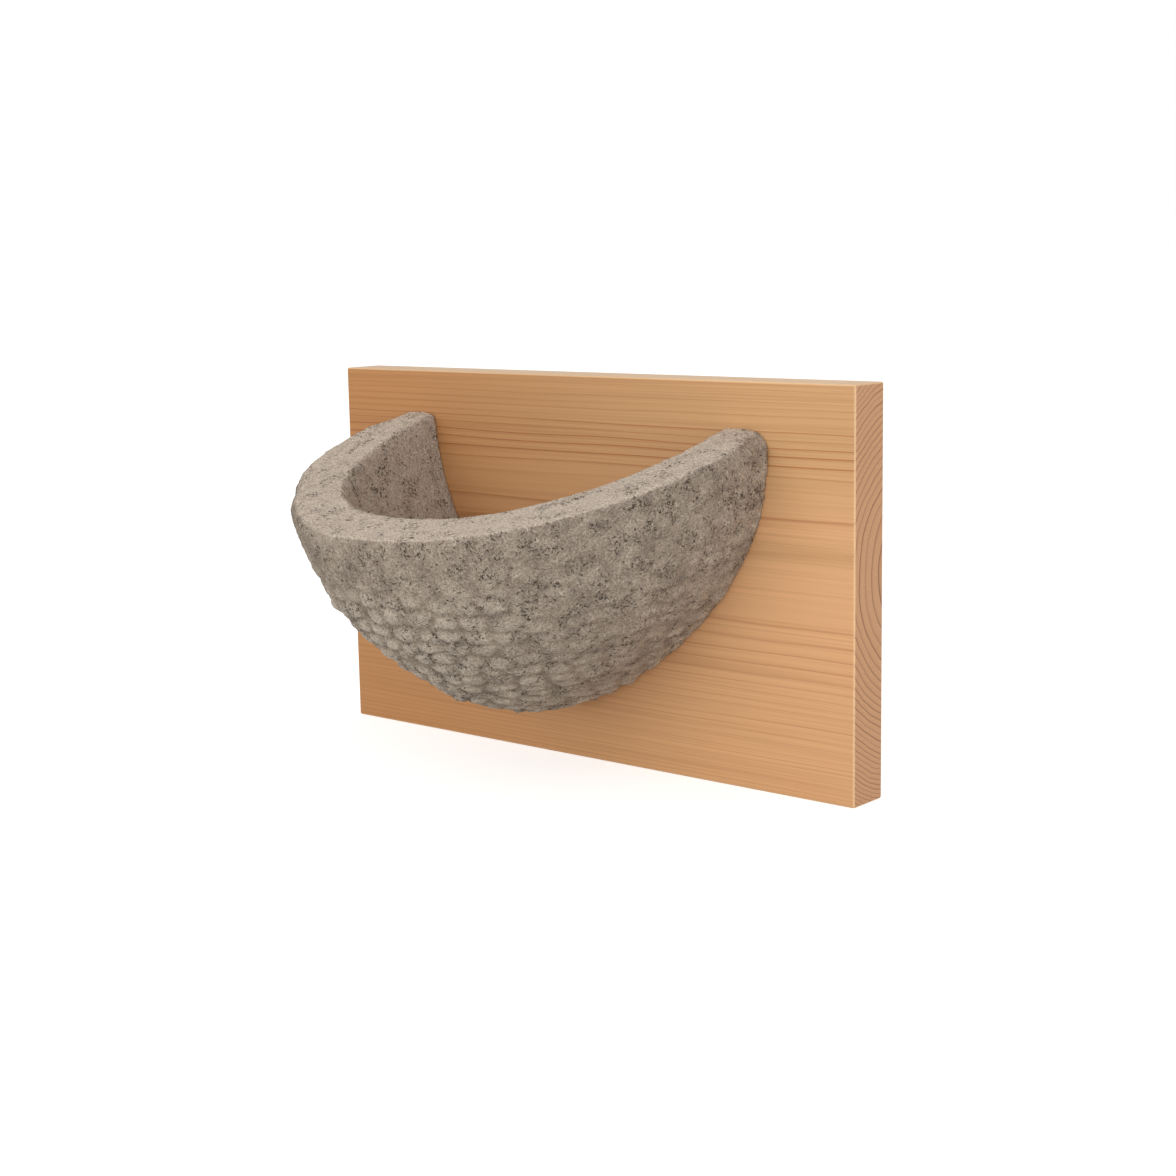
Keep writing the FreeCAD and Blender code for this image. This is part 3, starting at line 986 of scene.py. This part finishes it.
        # The hollow's mark, which the finish turns into painted fill light.
        inside_fill_light = (bowl.shares(points)[2] < self.hollow) * (1.0 - face)
        move_skin(piece, np.clip(points + normals * height[:, None], low, high))
        # Low places between chips, like the pits and seams, are dirty and darkened by painted
        # shade.
        low_chips = np.clip(-self.chips.grain.field(points) - self.hollow_chips, 0.0, 1.0)
        dirt_and_shade = self.pit_dirt_and_shade * pits + self.seam_dirt_and_shade * seams + self.chip_dirt_and_shade * low_chips
        marks = {Mark.DIRT: np.clip(dirt_and_shade, 0.0, self.most_dirt_and_shade), Mark.CREST: crest_highlight,
                 Mark.TROWELLED: face, Mark.INSIDE: inside_fill_light}
        for mark, amount in marks.items():
            kept = piece.data.attributes.new(mark.value, "FLOAT", "POINT")
            kept.data.foreach_set("value", amount.astype(float))


@dataclass(frozen=True)
class NestCup:
    """Half bowl of wood-concrete: a casting with rounded horns, an eased flank and a crust."""

    node: str = "nest_cup"
    crust: CastCrust = CastCrust()
    merge_distance: float = 0.01 * MM
    voxel: float = 0.96 * MM
    softening: float = 0.5
    softening_rounds: int = 30
    # Corners of the horns that are smoothed: place, distance it reaches, and share.
    worn_corners: tuple[tuple[Place, float, float], ...] = (
        ((91.5 * MM, -18.0 * MM, 57.5 * MM), 14.0 * MM, 1.0),
        ((-95.5 * MM, -18.0 * MM, 57.5 * MM), 9.0 * MM, 0.8),
        ((-73.8 * MM, -18.0 * MM, 57.5 * MM), 6.0 * MM, 0.7),
    )
    # Share of that distance within which a corner is smoothed in full.
    corner_core: float = 0.4
    outer_skin: Span = (0.84, 0.96)
    least_radius: float = 0.3 * MM
    # Distances from the board, and heights, over which the horns' shaping fades.
    horn_radius: float = 10.0 * MM
    horn_stretch: Span = (2.0 * MM, 26.0 * MM)
    horn_lean: float = 1.4 * MM
    lean_stretch: Span = (15.0 * MM, 45.0 * MM)
    lean_heights: Span = (24.0 * MM, 42.0 * MM)
    low_lean: float = 0.4
    added_lean: float = 0.8
    # Stretches of the left flank, as shares of the half turn, and depths below the rim.
    flank_radius: float = 5.0 * MM
    flank_ease: float = 1.1 * MM
    flank_swell: float = 1.2 * MM
    flank: Window = (0.52, 0.66, 0.76, 0.92)
    eased_rim: Window = (0.56, 0.68, 0.75, 0.80)
    swollen_rim: Window = (0.76, 0.84, 0.86, 0.95)
    flank_depths: Span = (2.0 * MM, 14.0 * MM)
    near_axis: float = 0.1

    def build(self) -> bpy.types.Object:
        """Copy the casting, remesh it evenly, shape it and raise its crust.

        Returns:
            The finished piece.
        """
        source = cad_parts[self.node]
        piece = bpy.data.objects.new("nest_cup_crust", source.data.copy())
        bpy.context.scene.collection.objects.link(piece)
        bpy.ops.object.select_all(action="DESELECT")
        piece.select_set(True)
        bpy.context.view_layer.objects.active = piece
        bpy.ops.object.mode_set(mode="EDIT")
        bpy.ops.mesh.select_all(action="SELECT")
        bpy.ops.mesh.remove_doubles(threshold=self.merge_distance)
        bpy.ops.object.mode_set(mode="OBJECT")
        remesh = piece.modifiers.new("even_mesh", "REMESH")
        remesh.mode = "VOXEL"
        remesh.voxel_size = self.voxel
        bpy.ops.object.modifier_apply(modifier=remesh.name)
        self.soften(piece)
        self.round_horns(piece)
        self.ease_flank(piece)
        self.crust.raise_on(piece, self.node)
        bpy.ops.object.shade_smooth()
        return piece

    def soften(self, piece: bpy.types.Object) -> None:
        """Level the even pellets, which uneven ones take the place of, and wear the horns.

        Args:
            piece: the remeshed casting.
        """
        points, _ = read_skin(piece)
        weights = self.crust.courses.covered(points)
        for corner, reach, share in self.worn_corners:
            away = np.linalg.norm(points - np.array(corner), axis=1)
            near = 1.0 - smooth_step(away, self.corner_core * reach, reach)
            weights = np.maximum(weights, share * near)
        group = piece.vertex_groups.new(name="softened")
        for index in np.nonzero(weights > 0.0)[0]:
            group.add([int(index)], float(weights[index]), "REPLACE")
        smoothing = piece.modifiers.new("softening", "SMOOTH")
        smoothing.factor = self.softening
        smoothing.iterations = self.softening_rounds
        smoothing.vertex_group = group.name
        bpy.ops.object.modifier_apply(modifier=smoothing.name)
        piece.vertex_groups.clear()

    def corner_pull(self, across: np.ndarray, up: np.ndarray,
                    radius: np.ndarray) -> np.ndarray:
        """Round an edge between the rim and the outer skin.

        Args:
            across: places from the rounding's centre towards the outer skin.
            up: places from that centre towards the rim.
            radius: the rounding's radius at each point.

        Returns:
            Share of its place by which each point moves away from the centre, 0 or less.
        """
        away = np.hypot(across, up)
        corner = (across > 0.0) & (up > 0.0) & (away > radius) & (radius > self.least_radius)
        return np.where(corner, radius / np.maximum(away, TINY) - 1.0, 0.0)

    def round_horns(self, piece: bpy.types.Object) -> None:
        """Round the outer corner of both horns and lean the right one in, near the board.

        Args:
            piece: the softened casting.
        """
        points, _ = read_skin(piece)
        bowl = self.crust.courses.bowl
        out = bowl.out(points)
        radius = self.horn_radius * (1.0 - smooth_step(out, *self.horn_stretch))
        side = np.sign(points[:, 0] - bowl.centre_x)
        across = side * (points[:, 0] - bowl.centre_x) - (bowl.plan_width(out) - radius)
        up = radius - bowl.below_rim(points)
        pull = self.corner_pull(across, up, radius)
        points[:, 0] += side * across * pull
        points[:, 2] += up * pull
        outer = smooth_step(bowl.shares(points)[2], *self.outer_skin) * (side > 0.0)
        near = 1.0 - smooth_step(out, *self.lean_stretch)
        points[:, 0] -= self.horn_lean * outer * near * (
            self.low_lean + self.added_lean * smooth_step(points[:, 2], *self.lean_heights))
        move_skin(piece, points)

    def ease_flank(self, piece: bpy.types.Object) -> None:
        """Round the rim's outer edge on the left of the front and draw in the wall below it.

        Farther back the rim stands out a little instead.

        Args:
            piece: the casting with rounded horns.
        """
        points, _ = read_skin(piece)
        bowl = self.crust.courses.bowl
        along, _, level = bowl.shares(points)
        left = window(along, self.flank)
        outwards = points[:, :2] - np.array([bowl.centre_x, bowl.board_y])
        reach = np.maximum(np.linalg.norm(outwards, axis=1), TINY)
        radius = self.flank_radius * left
        across = radius - reach * (1.0 / np.maximum(level, self.near_axis) - 1.0)
        below = bowl.below_rim(points)
        up = radius - below
        pull = self.corner_pull(across, up, radius)
        low = smooth_step(below, *self.flank_depths)
        drawn = self.flank_ease * (left * low + window(along, self.eased_rim) * (1.0 - low))
        swollen = self.flank_swell * window(along, self.swollen_rim) * (1.0 - low)
        shift = across * pull + (swollen - drawn) * smooth_step(level, *self.outer_skin)
        points[:, :2] += outwards / reach[:, None] * shift[:, None]
        points[:, 2] += up * pull
        move_skin(piece, points)

    def dress(self, piece: bpy.types.Object) -> None:
        """Give the piece its finish and its place in the model.

        Args:
            piece: the finished piece.
        """
        piece.data.materials.clear()
        piece.data.materials.append(CastWoodConcrete().material())
        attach(piece, Body.ROOT.value)
        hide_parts(self.node)


@dataclass(frozen=True)
class PackedPieces:
    """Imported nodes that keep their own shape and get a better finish."""

    nodes: tuple[str, ...]
    finish: PlanedSoftwood | ZincPlatedSteel

    def dress(self) -> list[bpy.types.Object]:
        """Assign the finish to every material slot of the nodes.

        Returns:
            The nodes.
        """
        material = self.finish.material()
        pieces = [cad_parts[name] for name in self.nodes]
        for piece in pieces:
            if not piece.material_slots:
                piece.data.materials.append(material)
            for slot in piece.material_slots:
                slot.material = material
        return pieces


@dataclass(frozen=True)
class Backboard(PackedPieces):
    """Board that closes the cup's back."""

    nodes: tuple[str, ...] = ("backboard",)
    finish: PlanedSoftwood = PlanedSoftwood()


@dataclass(frozen=True)
class CupScrews(PackedPieces):
    """Screws that hold the cup, sunk in the board's back."""

    nodes: tuple[str, ...] = ("left_screw", "right_screw", "floor_screw")
    finish: ZincPlatedSteel = ZincPlatedSteel()


@dataclass(frozen=True)
class Lamp:
    """A soft square lamp that points at the middle of the board's back."""

    name: str
    place: Place
    size: float
    power: float

    def hang(self) -> bpy.types.Object:
        """Put the lamp in the scene.

        Returns:
            The lamp.
        """
        data = bpy.data.lights.new(self.name, "AREA")
        data.size = self.size
        data.energy = self.power
        lamp = bpy.data.objects.new(self.name, data)
        bpy.context.scene.collection.objects.link(lamp)
        lamp.location = self.place
        lamp.rotation_euler = (-Vector(self.place)).to_track_quat("-Z", "Y").to_euler()
        return lamp


@dataclass(frozen=True)
class Studio:
    """Pale floor, white surroundings, soft lamps and the camera."""

    floor_z: float = -74.0 * MM
    floor_size: float = 30.0
    floor_tone: str = "#E2E2E0"
    floor_glow: float = 0.6
    ambient: float = 0.86
    lamps: tuple[Lamp, ...] = (Lamp("key_lamp", (-0.15, -1.65, 0.44), 1.5, 12.0),
                               Lamp("fill_lamp", (1.6, -0.7, 0.35), 1.2, 9.5),)
    camera_place: Place = (0.49576, -0.59536, 0.12052)
    camera_degrees: Place = (80.4518, 1.0519, 40.2020)
    camera_lens: float = 61.53
    camera_sensor: float = 36.0
    camera_near: float = 10.0 * MM

    def build(self) -> list[bpy.types.Object]:
        """Set up the floor, the light and the camera.

        Returns:
            The floor, the lamps and the camera.
        """
        bpy.context.scene.view_settings.view_transform = "Standard"
        floor = self.floor()
        self.surroundings()
        return [floor, *[lamp.hang() for lamp in self.lamps], self.camera()]

    def floor(self) -> bpy.types.Object:
        """Lay the floor under the board's lower edge.

        Returns:
            The floor.
        """
        bpy.ops.object.select_all(action="DESELECT")
        bpy.ops.mesh.primitive_plane_add(size=self.floor_size, location=(0, 0, self.floor_z))
        floor = bpy.context.active_object
        floor.name = "studio_floor"
        material, surface = new_material("floor_matt_white", {
            "Base Color": linear(self.floor_tone), "Roughness": 1.0, "Specular IOR Level": 0.0})
        tree = material.node_tree
        dark, glow = [add_node(tree, "Emission", values={"Strength": strength})
                      for strength in (0.0, self.floor_glow)]
        extra = add_node(tree, "MixShader", {0: seen_by_eye(tree), 1: dark, 2: glow})
        both = add_node(tree, "AddShader", {0: surface.outputs["BSDF"], 1: extra})
        output = next(node for node in tree.nodes if node.type == "OUTPUT_MATERIAL")
        tree.links.new(both, output.inputs["Surface"])
        floor.data.materials.append(material)
        return floor

    def surroundings(self) -> None:
        """Make the world white to the eye and a plain soft light to the object."""
        world = bpy.data.worlds.new("studio_world")
        bpy.context.scene.world = world
        world.use_nodes = True
        tree = world.node_tree
        white = next(node for node in tree.nodes if node.type == "BACKGROUND")
        white.inputs["Color"].default_value = linear("#FFFFFF")
        white.inputs["Strength"].default_value = 1.0
        soft = add_node(tree, "Background", values={"Strength": self.ambient})
        mixed = add_node(tree, "MixShader", {0: seen_by_eye(tree), 1: soft,
                                             2: white.outputs["Background"]})
        output = next(node for node in tree.nodes if node.type == "OUTPUT_WORLD")
        tree.links.new(mixed, output.inputs["Surface"])

    def camera(self) -> bpy.types.Object:
        """Stand the camera where the photograph was taken from.

        Returns:
            The camera.
        """
        data = bpy.data.cameras.new("photo_camera")
        data.lens = self.camera_lens
        data.sensor_width = self.camera_sensor
        data.clip_start = self.camera_near
        camera = bpy.data.objects.new("photo_camera", data)
        bpy.context.scene.collection.objects.link(camera)
        camera.location = self.camera_place
        camera.rotation_euler = Euler([math.radians(turn) for turn in self.camera_degrees], "XYZ")
        bpy.context.scene.camera = camera
        return camera


def main() -> None:
    """Build the scene piece by piece."""
    logging.basicConfig(level=logging.INFO, format="%(message)s")
    LOG.info("studio: %s", ", ".join(item.name for item in Studio().build()))
    cup = NestCup()
    crust = cup.build()
    cup.dress(crust)
    LOG.info("nest cup: %d faces", len(crust.data.polygons))
    for assembly in (Backboard(), CupScrews()):
        for piece in assembly.dress():
            LOG.info("dressed: %s", piece.name)


if __name__ == "__main__":
    main()
